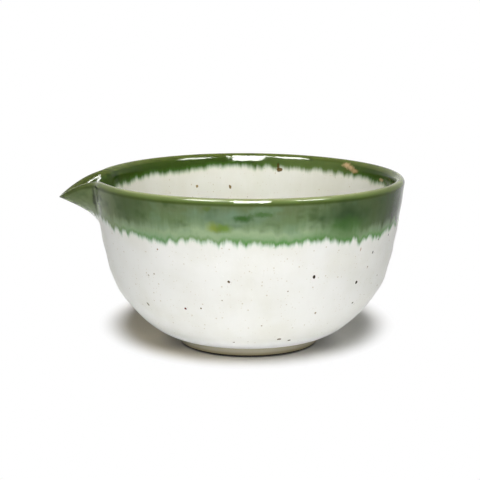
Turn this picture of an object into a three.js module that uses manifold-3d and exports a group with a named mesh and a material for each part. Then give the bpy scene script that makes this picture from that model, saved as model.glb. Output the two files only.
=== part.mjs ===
// A wheel-thrown stoneware tea bowl with a pouring spout, in millimetres, +Z up.
// The spout points along -X, the bowl stands on its foot ring at z = 0, and the origin is
// the middle of the whole outline, spout included.
import * as THREE from 'three';
import { mergeVertices } from 'three/addons/utils/BufferGeometryUtils.js';
import Module from 'manifold-3d';

// Overall sizes, measured over the glaze
const rimDiameter = 124;
const bowlHeight = 68.4;

// Glaze coats, and the fine seams between the pieces
const glazeThickness = 0.5;
const glazeSeam = 0.3;
const clayJoint = 0.3;

// Clay wall: its lip, its belly and its floor
const lipRound = 1;
const lipSlopeWidth = 2.2;
const lipSlopeDepth = 4.5;
const lipSlopeEnd = THREE.MathUtils.degToRad(145);
const wallThickness = 3.8;
const floorThickness = 5.6;
const bellyRadius = 52.1;
const bellyHeight = 24.2;
const bellyLean = 0.55;
const rimLean = 0.11;

// How far each curve of the wall reaches towards its neighbour: more makes a rounder bend
const undersideReach = 9.3;
const bellyReachDown = 8.5;
const bellyReachUp = 7.9;
const rimReach = 12.5;
const floorReach = 24;
const innerBellyReachDown = 11;
const innerBellyReachUp = 8.5;

// Foot ring turned on the wheel, glazed down its side to a bare edge; the diameter is over the glaze
const footDiameter = 55.2;
const footHeight = 4.7;
const footTaper = 0.6;
const footWidth = 4.8;
const footEdge = 0.8;
const footEdgeSoftening = 0.3;
const footBareEdge = 0.9;

// Pouring spout drawn out of the rim
const spoutPull = 15.4;
const spoutDrop = 8.2;
const spoutDepth = 19.5;
const spoutGrowth = 1.2;
const beakHalfWidth = 9.6;
const beakSharpness = 1.55;
const beakTipRound = 2.2;
const beakDroop = 1.53;
const channelShare = 0.76;
const pinchDepth = 1.4;
const pinchOffset = 15.2;
const pinchWidth = 4;
const seatHalfWidth = 18;
const seatDepth = 23;

// Green band: how far it runs down from the rim, and the waves of its dripping edge
const bandDepthOutside = 16.4;
const bandDepthInside = 6.4;
const channelRun = 7;
const channelRunWidth = 21;
const bandWave = 1.1;
const wavesRound = 3;
const waveTurn = 0.8;
const dripLength = 1.3;
const dripCount = 19;
const dripUnevenness = 0.4;

// Fineness of the rounds
const roundStep = THREE.MathUtils.degToRad(7);
const spoutStep = THREE.MathUtils.degToRad(2.4);
const spoutSector = THREE.MathUtils.degToRad(19);
const levelDepth = 25;
const lowerRows = 7;
const whiteRows = 2;
const greenRows = 4;
const lipRows = 6;
const footSides = 56;
const seatCurveSteps = 14;
const halvings = 24;
const samePoint = 1e-4;

// Sizes that follow from the ones above
const glazeBuild = glazeSeam + glazeThickness;
const clayRimRadius = rimDiameter / 2 - glazeBuild;
const clayTop = bowlHeight - glazeBuild;
const lipCrest = clayRimRadius - lipRound;
const lipThickness = lipRound + lipSlopeWidth;
const undersideHeight = footHeight + clayJoint;
const footTopRadius = footDiameter / 2 + footTaper;
const footClayRadius = footDiameter / 2 - glazeBuild;
const clayFloor = undersideHeight + floorThickness;
const angleOf = (width) => width / clayRimRadius;

// Materials, one per finish
const clay = () => new THREE.MeshStandardMaterial({ color: 0xa39c88, roughness: 0.85, metalness: 0 });
const whiteGlaze = () => new THREE.MeshStandardMaterial({ color: 0xe9e8e2, roughness: 0.28, metalness: 0 });
const greenGlaze = () => new THREE.MeshStandardMaterial({ color: 0x5f7f4b, roughness: 0.2, metalness: 0 });

// Curves of the clay section, in the plane of radius and height

const leaning = (lean) => new THREE.Vector2(Math.sin(lean), Math.cos(lean));

// The lip is tightly rounded outside its crest and slopes gently inside it.
function lipPoint(around) {
  const inside = around > Math.PI / 2;
  const width = inside ? lipSlopeWidth : lipRound;
  const depth = inside ? lipSlopeDepth : lipRound;
  const point = new THREE.Vector2(
    lipCrest + width * Math.cos(around),
    clayTop - depth + depth * Math.sin(around),
  );
  const normal = new THREE.Vector2(depth * Math.cos(around), width * Math.sin(around)).normalize();
  return { point, normal };
}

// Two smooth curves that meet at the belly; each reach is the length of a curve's handle.
function wallCurve(start, startReach, belly, reachDown, reachUp, end) {
  const startHandle = new THREE.Vector2(start.x + startReach, start.y);
  const handleDown = belly.clone().addScaledVector(leaning(bellyLean), -reachDown);
  const handleUp = belly.clone().addScaledVector(leaning(bellyLean), reachUp);
  const endHandle = end.clone().addScaledVector(leaning(rimLean), -rimReach);
  const path = new THREE.CurvePath();
  path.add(new THREE.CubicBezierCurve(start, startHandle, handleDown, belly));
  path.add(new THREE.CubicBezierCurve(belly, handleUp, endHandle, end));
  return path;
}

// The outer face rises from beside the foot ring, round the belly, to the shoulder of the lip.
const outerFace = wallCurve(
  new THREE.Vector2(footTopRadius + glazeSeam, undersideHeight),
  undersideReach,
  new THREE.Vector2(bellyRadius, bellyHeight),
  bellyReachDown,
  bellyReachUp,
  lipPoint(0).point,
);

// The inner face runs from the middle of the floor up to the wall's end, and on up the lip's slope.
const innerBelly = new THREE.Vector2(
  bellyRadius - wallThickness * Math.cos(bellyLean),
  bellyHeight + wallThickness * Math.sin(bellyLean),
);
const innerFace = wallCurve(
  new THREE.Vector2(0, clayFloor),
  floorReach,
  innerBelly,
  innerBellyReachDown,
  innerBellyReachUp,
  lipPoint(Math.PI).point,
);
const slopeMiddle = clayTop - lipSlopeDepth;
innerFace.add(
  new THREE.EllipseCurve(lipCrest, slopeMiddle, lipSlopeWidth, lipSlopeDepth, Math.PI, lipSlopeEnd, true),
);

// A station is a place on the clay section: its point, the direction out of the clay there,
// and how much of the spout's pull it takes.

function faceStation(face, along, side, shareAt) {
  const point = face.getPointAt(along);
  const tangent = face.getTangentAt(along);
  const normal = new THREE.Vector2(tangent.y, -tangent.x).multiplyScalar(side);
  return { point, normal, share: shareAt(point) };
}

// Across the lip the share falls from the whole pull outside to the channel's share inside.
function shareAcrossLip(point) {
  const across = THREE.MathUtils.clamp((clayRimRadius - point.x) / lipThickness, 0, 1);
  return THREE.MathUtils.lerp(1, channelShare, across);
}

const outerStation = (along) => faceStation(outerFace, along, 1, () => 1);
const innerStation = (along) => faceStation(innerFace, along, -1, shareAcrossLip);

function lipStation(turn) {
  const { point, normal } = lipPoint(turn * lipSlopeEnd);
  return { point, normal, share: shareAcrossLip(point) };
}

// How far along a face, from 0 to 1, a height lies.
function alongAtHeight(face, height) {
  let low = 0;
  let high = 1;
  for (let halving = 0; halving < halvings; halving += 1) {
    const middle = (low + high) / 2;
    if (face.getPointAt(middle).y < height) {
      low = middle;
    } else {
      high = middle;
    }
  }
  return (low + high) / 2;
}

// The spout: one smooth pull of the wall, strongest at the rim

function beakShape(angle) {
  const tip = angleOf(beakTipRound);
  const across = (turn) => (Math.hypot(turn, tip) / angleOf(beakHalfWidth)) ** beakSharpness;
  return Math.exp(across(0) - across(angle));
}

function pinchShape(angle) {
  const across = (Math.abs(angle) - angleOf(pinchOffset)) / angleOf(pinchWidth);
  return Math.exp(-across * across);
}

// Moves a point of the section at this angle, counted from -X, out and down with the spout.
function pulled(radius, height, angle, share) {
  const rise = THREE.MathUtils.clamp((height - bowlHeight + spoutDepth) / spoutDepth, 0, 1);
  const strength = rise ** spoutGrowth;
  const out = spoutPull * strength * beakShape(angle) * share - pinchDepth * strength * pinchShape(angle);
  const down = spoutDrop * strength * beakShape(angle) ** beakDroop;
  const reach = radius + out;
  return new THREE.Vector3(-reach * Math.cos(angle), reach * Math.sin(angle), height - down);
}

function placed(station, offset, angle) {
  const radius = Math.max(0, station.point.x + station.normal.x * offset);
  const height = station.point.y + station.normal.y * offset;
  return pulled(radius, height, angle, station.share);
}

// Angles of the columns: close together across the spout, wider round the rest.
function columnAngles() {
  const angles = [];
  const spoutColumns = Math.round((2 * spoutSector) / spoutStep);
  const restColumns = Math.round((2 * Math.PI - 2 * spoutSector) / roundStep);
  for (let column = 0; column < spoutColumns; column += 1) {
    angles.push(-spoutSector + (2 * spoutSector * column) / spoutColumns);
  }
  for (let column = 0; column < restColumns; column += 1) {
    angles.push(spoutSector + ((2 * Math.PI - 2 * spoutSector) * column) / restColumns);
  }
  return angles;
}

const range = (count) => Array.from({ length: count }, (_, index) => index);
const spread = (from, to, count) => range(count + 1).map((index) => from + ((to - from) * index) / count);

// Closed skin through the columns, each a loop of points; points on the axis are shared.
// Each four-cornered patch is folded along its shorter diagonal.
function skinColumns(columns) {
  const rows = columns[0].length;
  const points = columns.flat();
  const positions = points.flatMap((point) => point.toArray());
  const faces = [];
  const at = (column, row) => (column % columns.length) * rows + (row % rows);
  for (const column of range(columns.length)) {
    for (const row of range(rows)) {
      const patch = [at(column, row), at(column, row + 1), at(column + 1, row + 1), at(column + 1, row)];
      const [a, b, c, d] = patch;
      if (points[a].distanceTo(points[c]) < points[b].distanceTo(points[d])) {
        faces.push(a, b, c, a, c, d);
      } else {
        faces.push(a, b, d, b, c, d);
      }
    }
  }
  const geometry = new THREE.BufferGeometry();
  geometry.setAttribute('position', new THREE.Float32BufferAttribute(positions, 3));
  geometry.setIndex(faces);
  return withoutSlivers(mergeVertices(geometry, samePoint));
}

function withoutSlivers(geometry) {
  const index = geometry.getIndex().array;
  const kept = [];
  for (let corner = 0; corner < index.length; corner += 3) {
    const [a, b, c] = [index[corner], index[corner + 1], index[corner + 2]];
    if (a !== b && b !== c && c !== a) {
      kept.push(a, b, c);
    }
  }
  geometry.setIndex(kept);
  return geometry;
}

// A coat of glaze over a run of stations, chosen for each column.
function coatGeometry(stationsAt) {
  const columns = columnAngles().map((angle) => {
    const stations = stationsAt(angle);
    const faceUp = stations.map((station) => placed(station, glazeBuild, angle));
    const faceDown = stations.map((station) => placed(station, glazeSeam, angle));
    return [...faceUp, ...faceDown.reverse()];
  });
  return skinColumns(columns);
}

// Height of the green's edge: slow waves, with a row of short drips.
function edgeHeight(depth, angle) {
  const wave = bandWave * Math.sin(wavesRound * angle + waveTurn);
  const drip = dripLength * Math.cos(dripCount * angle);
  const uneven = 1 - dripUnevenness * (1 - Math.sin(2 * angle + waveTurn));
  return bowlHeight - depth + wave - drip * uneven;
}

// Inside, the green also runs down the spout's channel.
function insideDepth(angle) {
  const turn = Math.atan2(Math.sin(angle), Math.cos(angle));
  const across = turn / angleOf(channelRunWidth);
  return bandDepthInside + channelRun * Math.exp(-across * across);
}

// Rows up a face at one angle: first those under the white glaze, then those under the green.
// Below the spout they are level. Clay and glaze share them, so that their facets lie parallel.
function faceRows(face, depth, angle) {
  const height = edgeHeight(depth, angle);
  const level = alongAtHeight(face, bowlHeight - levelDepth);
  const whiteEnd = alongAtHeight(face, height - glazeSeam / 2);
  const greenEnd = alongAtHeight(face, height + glazeSeam / 2);
  return {
    white: [...spread(0, level, lowerRows), ...spread(level, whiteEnd, whiteRows).slice(1)],
    green: spread(greenEnd, 1, greenRows),
  };
}

const outerRowsAt = (angle) => faceRows(outerFace, bandDepthOutside, angle);
const innerRowsAt = (angle) => faceRows(innerFace, insideDepth(angle), angle);
const lipRowsUp = spread(0, 1, lipRows).slice(1, -1);

const whiteOutsideStations = (angle) => outerRowsAt(angle).white.map(outerStation);
const whiteInsideStations = (angle) => innerRowsAt(angle).white.reverse().map(innerStation);

function greenStations(angle) {
  return [
    ...outerRowsAt(angle).green.map(outerStation),
    ...lipRowsUp.map(lipStation),
    ...innerRowsAt(angle).green.reverse().map(innerStation),
  ];
}

// The whole clay wall, spout included, before the spout's joint is cut.
function clayWallGeometry() {
  const columns = columnAngles().map((angle) => {
    const stations = [...whiteOutsideStations(angle), ...greenStations(angle), ...whiteInsideStations(angle)];
    const wall = stations.map((station) => placed(station, 0, angle));
    return [new THREE.Vector3(0, 0, undersideHeight), ...wall];
  });
  return skinColumns(columns);
}

// Scoop-shaped block from the bowl's axis out past the spout: the wall inside it is the spout.
function spoutSeat(clearance) {
  const outline = new THREE.Shape();
  const halfWidth = seatHalfWidth - clearance;
  outline.absellipse(0, clayTop, halfWidth, seatDepth - clearance, Math.PI, 2 * Math.PI, false);
  outline.lineTo(halfWidth, bowlHeight + lipRound);
  outline.lineTo(-halfWidth, bowlHeight + lipRound);
  outline.closePath();
  const length = clayRimRadius + spoutPull;
  const settings = { depth: length, bevelEnabled: false, curveSegments: seatCurveSteps };
  const block = new THREE.ExtrudeGeometry(outline, settings);
  block.rotateX(Math.PI / 2);
  block.rotateZ(-Math.PI / 2);
  return block;
}

// Booleans

const wasm = await Module();
wasm.setup();

function solidOf(geometry) {
  const bare = geometry.clone();
  bare.deleteAttribute('normal');
  bare.deleteAttribute('uv');
  const merged = mergeVertices(bare, samePoint);
  const mesh = new wasm.Mesh({
    numProp: 3,
    vertProperties: new Float32Array(merged.getAttribute('position').array),
    triVerts: new Uint32Array(merged.getIndex().array),
  });
  return new wasm.Manifold(mesh);
}

function geometryOf(solid) {
  const mesh = solid.getMesh();
  const geometry = new THREE.BufferGeometry();
  geometry.setAttribute('position', new THREE.Float32BufferAttribute(mesh.vertProperties, 3));
  geometry.setIndex(Array.from(mesh.triVerts));
  return geometry;
}

// Pieces

function piece(name, geometry, material) {
  const flat = geometry.toNonIndexed();
  flat.computeVertexNormals();
  const mesh = new THREE.Mesh(flat, material);
  mesh.name = name;
  return mesh;
}

// Turns a closed section, counter-clockwise in radius and height, about the bowl's axis.
function turned(section) {
  const geometry = new THREE.LatheGeometry([...section, section[0]], footSides);
  geometry.rotateX(Math.PI / 2);
  geometry.deleteAttribute('normal');
  geometry.deleteAttribute('uv');
  return withoutSlivers(mergeVertices(geometry, samePoint));
}

function footRing() {
  const outer = footClayRadius;
  const inner = outer - footWidth;
  const softened = footEdge * footEdgeSoftening;
  const section = [
    new THREE.Vector2(inner + footEdge, 0),
    new THREE.Vector2(outer - footEdge, 0),
    new THREE.Vector2(outer - softened, softened),
    new THREE.Vector2(outer, footEdge),
    new THREE.Vector2(outer + footTaper, footHeight),
    new THREE.Vector2(inner, footHeight),
    new THREE.Vector2(inner, footEdge),
    new THREE.Vector2(inner + softened, softened),
  ];
  return piece('foot_ring', turned(section), clay());
}

// The coat on the foot's side, from above its bare edge to its top.
function footGlaze() {
  const climb = (footBareEdge - footEdge) / (footHeight - footEdge);
  const lowRadius = footDiameter / 2 + footTaper * climb;
  const section = [
    new THREE.Vector2(lowRadius - glazeThickness, footBareEdge),
    new THREE.Vector2(lowRadius, footBareEdge),
    new THREE.Vector2(footTopRadius, footHeight),
    new THREE.Vector2(footTopRadius - glazeThickness, footHeight),
  ];
  return piece('foot_glaze', turned(section), whiteGlaze());
}

const clayWall = solidOf(clayWallGeometry());
const seat = solidOf(spoutSeat(0));
const spoutBlock = solidOf(spoutSeat(clayJoint));

const bowl = new THREE.Group();
bowl.add(footRing());
bowl.add(footGlaze());
bowl.add(piece('thrown_bowl', geometryOf(clayWall.subtract(seat)), clay()));
bowl.add(piece('pouring_spout', geometryOf(clayWall.intersect(spoutBlock)), clay()));
bowl.add(piece('white_glaze_outside', coatGeometry(whiteOutsideStations), whiteGlaze()));
bowl.add(piece('white_glaze_inside', coatGeometry(whiteInsideStations), whiteGlaze()));
bowl.add(piece('green_glaze_band', coatGeometry(greenStations), greenGlaze()));

// Put the origin under the middle of the outline.
const outlineBox = new THREE.Box3().setFromObject(bowl);
bowl.position.x = -outlineBox.getCenter(new THREE.Vector3()).x;

const teaBowl = new THREE.Group();
teaBowl.add(bowl);

export default teaBowl;
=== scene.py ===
"""Tea bowl with a pouring spout: the glazed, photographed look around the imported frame.

The clay body, the foot ring and the four coats of glaze are made again as fine surfaces over
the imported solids.
"""

from __future__ import annotations

import logging
import math
from collections.abc import Callable, Iterator
from contextlib import contextmanager
from dataclasses import dataclass, field
from enum import Enum

import bpy
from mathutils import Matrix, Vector
from mathutils.kdtree import KDTree
from mathutils.noise import noise

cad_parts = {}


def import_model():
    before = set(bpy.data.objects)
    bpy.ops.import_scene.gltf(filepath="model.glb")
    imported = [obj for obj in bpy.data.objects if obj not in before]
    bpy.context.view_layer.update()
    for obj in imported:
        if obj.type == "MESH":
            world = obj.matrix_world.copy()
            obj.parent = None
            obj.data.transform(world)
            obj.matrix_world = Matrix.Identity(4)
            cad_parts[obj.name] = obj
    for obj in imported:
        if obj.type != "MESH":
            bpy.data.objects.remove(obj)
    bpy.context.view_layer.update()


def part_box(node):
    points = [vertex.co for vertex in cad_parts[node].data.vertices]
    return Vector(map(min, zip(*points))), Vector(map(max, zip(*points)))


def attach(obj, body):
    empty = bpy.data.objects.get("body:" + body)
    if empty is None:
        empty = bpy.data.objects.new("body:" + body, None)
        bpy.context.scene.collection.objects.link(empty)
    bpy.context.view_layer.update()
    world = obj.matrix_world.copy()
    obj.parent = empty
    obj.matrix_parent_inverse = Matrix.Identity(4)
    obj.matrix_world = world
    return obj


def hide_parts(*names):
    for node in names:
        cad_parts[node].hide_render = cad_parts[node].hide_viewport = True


MM = 0.001
TINY = 1e-6

# Point attribute with the way from the crest, and the value on the foot, past the whole wall.
RUN = "run"
FOOT_RUN = 100.0

RIGHT = (1.0, 0.0, 0.0)
BACK = (0.0, 1.0, 0.0)
FRONT = (0.0, -1.0, 0.0)
UP = (0.0, 0.0, 1.0)
RED = (1.0, 0.0, 0.0)
WHITE = (1.0, 1.0, 1.0, 1.0)

# Sockets of a Mix node: its factor and two colours, and the colour that comes out.
COLOUR_MIX_INPUTS = (0, 6, 7)
COLOUR_MIX_OUTPUT = 2

log = logging.getLogger("tea_bowl")


class Face(Enum):
    """Which side of the wall a coat of glaze is seen on."""

    OUTSIDE = "outside"
    OVER_RIM = "over the rim"
    INSIDE = "inside"


@dataclass(frozen=True)
class Station:
    """A place on the bowl's section, over the glaze.

    Attributes:
        radius: Distance from the bowl's axis, in millimetres.
        height: Height above the table, in millimetres.
        out: Radial part of the direction out of the wall.
        up: Upright part of the direction out of the wall.
        run: Way along the surface from the crest of the rim, positive outside, in millimetres.
        share: How much of the spout's pull this place takes, from 0 to 1.
    """

    radius: float
    height: float
    out: float
    up: float
    run: float
    share: float


@dataclass
class BowlForm:
    """The thrown section and the pulled spout that all coats share.

    Lengths are in millimetres, with radii from the bowl's own axis, heights from the table and
    depths from the crest of the rim. Leans are radians from upright. Angles are radians about
    the axis, from the spout.
    """

    axis_x: float
    rim_radius: float
    height: float
    foot_radius: float
    underside: float
    glaze_build: float = 0.8
    glaze_seam: float = 0.3
    lip_round: float = 1.0
    lip_slope_width: float = 2.2
    lip_slope_depth: float = 4.5
    wall_thickness: float = 3.8
    floor_thickness: float = 5.6
    belly_radius: float = 52.1
    belly_height: float = 24.2
    belly_lean: float = 0.55
    rim_lean: float = 0.11
    inner_rim_lean: float = 0.14
    underside_reach: float = 9.3
    belly_reach_down: float = 8.5
    belly_reach_up: float = 7.9
    rim_reach: float = 12.5
    floor_reach: float = 24.0
    inner_belly_reach_down: float = 11.0
    inner_belly_reach_up: float = 8.5
    inner_rim_reach: float = 12.5
    ring_pitch: float = 10.5
    ring_depth: float = 0.1
    ring_start: float = 0.75
    ring_unevenness: float = 0.8
    ring_wander: float = 0.09
    rim_twist: float = 0.23
    rim_twist_turn: float = 0.4
    rim_tilt: float = 0.2
    rim_low: float = 0.29
    spout_pull: float = 14.0
    spout_drop: float = 7.8
    spout_depth: float = 18.7
    spout_growth: float = 1.2
    spout_lip_depth: float = 1.2
    beak_half_width: float = 10.6
    beak_sharpness: float = 1.68
    beak_tip_round: float = 2.4
    beak_droop: float = 1.5
    channel_share: float = 0.76
    pinch_depth: float = 1.35
    pinch_offset: float = 15.3
    pinch_width: float = 4.2
    finger_firmness: float = 0.6
    samples: int = 240
    clay_radius: float = field(init=False)
    clay_top: float = field(init=False)
    section: list[Station] = field(init=False)

    def __post_init__(self) -> None:
        """Works out the section once all sizes are known."""
        self.clay_radius = self.rim_radius - self.glaze_build
        self.clay_top = self.height - self.glaze_build
        self.section = self.make_section()

    def lip_point(self, around: float) -> tuple[Vector, Vector]:
        """Gives a point on the clay's lip, tightly rounded outside and gently sloped inside.

        Args:
            around: Way round the lip, from 0 outside, over the crest, to pi inside.

        Returns:
            The point and the direction out of the clay, both as radius and height.
        """
        inside = around > math.pi / 2.0
        width = self.lip_slope_width if inside else self.lip_round
        depth = self.lip_slope_depth if inside else self.lip_round
        x = math.cos(around)
        y = math.sin(around)
        crest = self.clay_radius - self.lip_round
        point = Vector((crest + width * x, self.clay_top - depth + depth * y))
        return point, Vector((depth * x, width * y)).normalized()

    def make_section(self) -> list[Station]:
        """Walks the section from beside the foot, over the lip, to the middle of the floor.

        Returns:
            Closely spaced stations with their run from the crest.
        """
        steepness = self.lip_slope_depth / self.lip_slope_width
        lip_from = -self.rim_lean
        lip_to = math.pi - math.atan(steepness * math.tan(self.inner_rim_lean))
        floor = self.underside + self.floor_thickness
        outer = self.face_points(
            Vector((self.foot_radius + self.glaze_seam, self.underside)),
            Vector((self.belly_radius, self.belly_height)),
            (self.underside_reach, self.belly_reach_down, self.belly_reach_up, self.rim_reach),
            self.lip_point(lip_from)[0],
            self.rim_lean,
        )
        across = Vector((math.cos(self.belly_lean), -math.sin(self.belly_lean)))
        inner = self.face_points(
            Vector((0.0, floor)),
            Vector((self.belly_radius, self.belly_height)) - across * self.wall_thickness,
            (
                self.floor_reach,
                self.inner_belly_reach_down,
                self.inner_belly_reach_up,
                self.inner_rim_reach,
            ),
            self.lip_point(lip_to)[0],
            self.inner_rim_lean,
        )
        places = [(point, Vector((way.y, -way.x)), 1.0) for point, way in outer]
        count = self.samples // 2
        for step in range(1, count):
            point, away = self.lip_point(lip_from + (lip_to - lip_from) * step / count)
            places.append((point, away, self.share_across_lip(point)))
        for point, way in reversed(inner):
            places.append((point, Vector((-way.y, way.x)), self.share_across_lip(point)))
        return self.measured(places)

    def share_across_lip(self, point: Vector) -> float:
        """Lets the pull fall from the whole outside the lip to the channel's share inside it."""
        across = (self.clay_radius - point.x) / (self.lip_round + self.lip_slope_width)
        return 1.0 + (self.channel_share - 1.0) * min(max(across, 0.0), 1.0)

    def face_points(
        self,
        start: Vector,
        belly: Vector,
        reaches: tuple[float, float, float, float],
        end: Vector,
        end_lean: float,
    ) -> list[tuple[Vector, Vector]]:
        """Follows one face of the clay wall, two smooth curves that meet at the belly.

        Args:
            start: Lowest point, from which the face leaves level.
            belly: Point where the wall turns up.
            reaches: Lengths of the four handles, in order.
            end: Point where the lip begins.
            end_lean: How far the wall leans outwards there.

        Returns:
            Points with their tangents, from the start to the end.
        """
        along = Vector((math.sin(self.belly_lean), math.cos(self.belly_lean)))
        end_along = Vector((math.sin(end_lean), math.cos(end_lean)))
        start_handle = start + Vector((reaches[0], 0.0))
        lower = (start, start_handle, belly - along * reaches[1], belly)
        upper = (belly, belly + along * reaches[2], end - end_along * reaches[3], end)
        places = [bezier(lower, step / self.samples) for step in range(self.samples)]
        places += [bezier(upper, step / self.samples) for step in range(self.samples + 1)]
        return places

    def measured(self, places: list[tuple[Vector, Vector, float]]) -> list[Station]:
        """Lays the glaze over the clay and adds the run from the crest to every place.

        Args:
            places: Points of the clay, directions out of it and shares of the pull.

        Returns:
            The stations.
        """
        glazed = [point + away * self.glaze_build for point, away, _ in places]
        glazed[-1].x = 0.0
        lengths = [0.0]
        for before, after in zip(glazed, glazed[1:]):
            lengths.append(lengths[-1] + (after - before).length)
        crest = max(range(len(glazed)), key=lambda index: glazed[index].y)
        return [
            Station(point.x, point.y, away.x, away.y, lengths[crest] - length, share)
            for point, (_, away, share), length in zip(glazed, places, lengths)
        ]

    def at_run(self, run: float) -> Station:
        """Finds the station at a run from the crest.

        Args:
            run: Way along the surface, positive outside, in millimetres.

        Returns:
            A station between the two nearest ones.
        """
        low = 0
        high = len(self.section) - 1
        while high - low > 1:
            middle = (low + high) // 2
            if self.section[middle].run > run:
                low = middle
            else:
                high = middle
        before = self.section[low]
        after = self.section[high]
        part = (before.run - run) / max(before.run - after.run, TINY)
        part = min(max(part, 0.0), 1.0)
        mixed = [
            getattr(before, name) * (1.0 - part) + getattr(after, name) * part
            for name in ("radius", "height", "out", "up", "run", "share")
        ]
        return Station(*mixed)

    def angle_of(self, width: float) -> float:
        """Turns a width at the rim into an angle about the axis."""
        return width / self.clay_radius

    def beak(self, angle: float) -> float:
        """Gives how far the spout is pulled at this angle.

        Args:
            angle: Angle about the axis, from the spout.

        Returns:
            A share of the pull, from 0 to 1 at the tip.
        """
        tip = self.angle_of(self.beak_tip_round)
        half = self.angle_of(self.beak_half_width)
        middle = (tip / half) ** self.beak_sharpness
        across = (math.hypot(angle, tip) / half) ** self.beak_sharpness
        return math.exp(middle - across)

    def pinch(self, angle: float) -> float:
        """Gives the potter's pinch beside the spout, firmer on the thumb's side.

        Args:
            angle: Angle about the axis, from the spout.

        Returns:
            A share of the pinch, from 0 to 1 at its deepest.
        """
        across = (abs(angle) - self.angle_of(self.pinch_offset)) / self.angle_of(self.pinch_width)
        firmness = 1.0 if angle < 0.0 else self.finger_firmness
        return firmness * math.exp(-across * across)

    def rim_sag(self, angle: float) -> float:
        """Gives how far the hand-thrown rim stays under its highest place at this angle."""
        twist = self.rim_twist * math.cos(2.0 * angle + self.rim_twist_turn)
        return self.rim_low - (self.rim_tilt * math.cos(angle) - twist)

    def throwing_ring(self, height: float, angle: float) -> float:
        """Gives how far the spiral of the potter's fingers stands out at a place.

        Args:
            height: Height above the table, in millimetres.
            angle: Angle about the axis, from the spout.

        Returns:
            The height of the ring, in millimetres.
        """
        climb = (height - self.underside) / (self.clay_top - self.underside)
        swell = math.sin(math.pi * min(max(climb, 0.0), 1.0))
        turns = (height - self.ring_start) / self.ring_pitch - angle / (2.0 * math.pi)
        wander = noise(Vector((height * self.ring_wander, math.cos(angle), math.sin(angle))))
        uneven = 1.0 + self.ring_unevenness * wander
        return self.ring_depth * swell * uneven * math.cos(2.0 * math.pi * turns)

    def placed(self, station: Station, angle: float, below: float = 0.0) -> Vector:
        """Puts a station in the frame, pulled out and down with the spout.

        Args:
            station: Place on the section.
            angle: Angle about the bowl's axis, from the spout.
            below: Depth under the glaze's face, in millimetres.

        Returns:
            The point in the frame, in metres.
        """
        lift = -below
        if station.radius > self.foot_radius:
            lift += self.throwing_ring(station.height, angle)
        radius = max(0.0, station.radius + station.out * lift)
        height = station.height + station.up * lift
        rise = (height - self.height + self.spout_depth) / (self.spout_depth - self.spout_lip_depth)
        strength = min(max(rise, 0.0), 1.0) ** self.spout_growth
        beak = self.beak(angle)
        out = self.spout_pull * strength * beak * station.share
        out -= self.pinch_depth * strength * self.pinch(angle)
        down = self.spout_drop * strength * beak**self.beak_droop
        down += self.rim_sag(angle) * strength
        reach = radius + out
        x = self.axis_x - reach * math.cos(angle)
        y = reach * math.sin(angle)
        return Vector((x, y, height - down)) * MM


def bezier(handles: tuple[Vector, Vector, Vector, Vector], part: float) -> tuple[Vector, Vector]:
    """Evaluates a cubic curve.

    Args:
        handles: Its start, two handles and end.
        part: Place along it, from 0 to 1.

    Returns:
        The point and the unit tangent there.
    """
    a, b, c, d = handles
    rest = 1.0 - part
    point = a * rest**3 + b * (3 * rest**2 * part) + c * (3 * rest * part**2) + d * part**3
    slope = (b - a) * (3 * rest**2) + (c - b) * (6 * rest * part) + (d - c) * (3 * part**2)
    return point, slope.normalized()


def deselect_everything() -> None:
    """Leaves edit mode if need be and deselects all objects."""
    if bpy.context.object and bpy.context.object.mode != "OBJECT":
        bpy.ops.object.mode_set(mode="OBJECT")
    bpy.ops.object.select_all(action="DESELECT")


@contextmanager
def editing() -> Iterator[None]:
    """Works on the active object in edit mode and goes back to object mode."""
    bpy.ops.object.mode_set(mode="EDIT")
    yield
    bpy.ops.object.mode_set(mode="OBJECT")


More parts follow.
